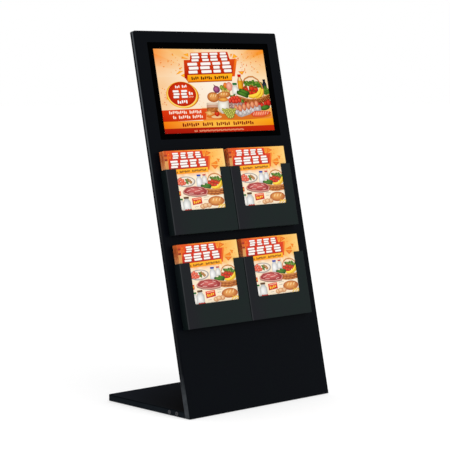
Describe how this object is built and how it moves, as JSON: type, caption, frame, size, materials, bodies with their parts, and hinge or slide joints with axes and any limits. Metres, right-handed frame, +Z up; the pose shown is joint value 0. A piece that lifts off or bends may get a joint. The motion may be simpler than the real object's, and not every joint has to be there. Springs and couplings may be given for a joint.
{
  "type": "touchscreen kiosk",
  "caption": "Leaning black steel kiosk: a landscape touchscreen above leaflet pockets with finger notches, on a flat base, electronics housing behind.",
  "frame": {"origin": "on the floor under the middle of the whole object, halfway between the upright's front bottom edge and the base's rear edge", "axes": "+Z up; +Y towards the back; the screen and pockets face -Y; +X is the viewer's right"},
  "size_m": [0.5212, 0.335, 0.9994],
  "materials": {
    "powder_coat": "fine satin powder coat, near black",
    "zinc_steel": "zinc-plated sheet",
    "black_screws": "black-coated button heads",
    "bright_screws": "bright zinc",
    "cover_glass": "toughened glass with a black printed border, lit picture within",
    "black_tape": "closed-cell foam tape",
    "black_plastic": "moulded, matt",
    "lcd_tray": "galvanised tray",
    "circuit_board": "green solder mask",
    "heatsink": "black anodised",
    "brass": "turned",
    "ribbon": "flat cable",
    "lead_jacket": "two-core jacket",
    "rocker_plastic": "gloss",
    "lock_chrome": "bright",
    "rubber": "matt pads",
    "leaflet_paper": "coated paper, printed orange and cream"
  },
  "bodies": {
    "stand": {"front_panel": "powder_coat", "back_panel": "powder_coat", "back_panel_screws": "black_screws", "stiffener_left": "zinc_steel", "stiffener_right": "zinc_steel", "cover_glass": "cover_glass", "glass_tape": "black_tape", "glass_carrier": "black_plastic", "lcd_panel": "lcd_tray", "panel_rail_left": "zinc_steel", "panel_rail_right": "zinc_steel", "rail_nuts": "bright_screws", "equipment_plate": "zinc_steel", "player_board": "circuit_board", "player_heatsink": "heatsink", "display_driver_board": "circuit_board", "touch_controller_board": "circuit_board", "power_board": "circuit_board", "board_standoffs": "brass", "board_screws": "bright_screws", "display_ribbon": "ribbon", "power_lead": "lead_jacket", "rear_housing": "powder_coat", "housing_screws": "black_screws", "dc_jack": "black_plastic", "switch_body": "black_plastic", "usb_ports": "lcd_tray", "hinge_leaf": "powder_coat", "hinge_pin": "bright_screws", "base_tray": "powder_coat", "base_plate": "zinc_steel", "base_standoffs": "zinc_steel", "base_plate_screws": "bright_screws", "joint_plate_left": "zinc_steel", "joint_plate_right": "zinc_steel", "joint_bolts": "bright_screws", "side_screws": "black_screws", "foot_pads": "rubber", "pocket_upper_left": "powder_coat", "pocket_upper_right": "powder_coat", "pocket_lower_left": "powder_coat", "pocket_lower_right": "powder_coat", "pocket_nuts": "bright_screws"},
    "door": {"service_door": "powder_coat", "lock_body": "lock_chrome", "lock_nut": "lock_chrome"},
    "lock": {"lock_plug": "lock_chrome", "lock_cam": "lock_chrome", "cam_screw": "bright_screws"},
    "rocker": {"switch_rocker": "rocker_plastic"},
    "leaflets_upper_left": {"leaflets_upper_left": "leaflet_paper"},
    "leaflets_upper_right": {"leaflets_upper_right": "leaflet_paper"},
    "leaflets_lower_left": {"leaflets_lower_left": "leaflet_paper"},
    "leaflets_lower_right": {"leaflets_lower_right": "leaflet_paper"}
  },
  "joints": [
    {"name": "leaflets_upper_left_lift", "type": "slide", "parent": "stand", "child": "leaflets_upper_left", "axis": [0, 0.213, 0.977], "range_m": [0, 0.175]},
    {"name": "leaflets_upper_right_lift", "type": "slide", "parent": "stand", "child": "leaflets_upper_right", "axis": [0, 0.213, 0.977], "range_m": [0, 0.175]},
    {"name": "leaflets_lower_left_lift", "type": "slide", "parent": "stand", "child": "leaflets_lower_left", "axis": [0, 0.213, 0.977], "range_m": [0, 0.025]},
    {"name": "leaflets_lower_right_lift", "type": "slide", "parent": "stand", "child": "leaflets_lower_right", "axis": [0, 0.213, 0.977], "range_m": [0, 0.025]},
    {"name": "door_hinge", "type": "hinge", "parent": "stand", "child": "door", "pos_m": [-0.171, 0.06593, 0.83128], "axis": [0, 0.213, 0.977], "range_deg": [0, 110]},
    {"name": "lock_turn", "type": "hinge", "parent": "door", "child": "lock", "pos_m": [0.138, 0.06446, 0.8316], "axis": [0, -0.977, 0.213], "range_deg": [0, 90]},
    {"name": "rocker_tilt", "type": "hinge", "parent": "stand", "child": "rocker", "pos_m": [-0.02, 0.02752, 0.74058], "axis": [0, -0.977, 0.213], "range_deg": [0, 20]}
  ]
}
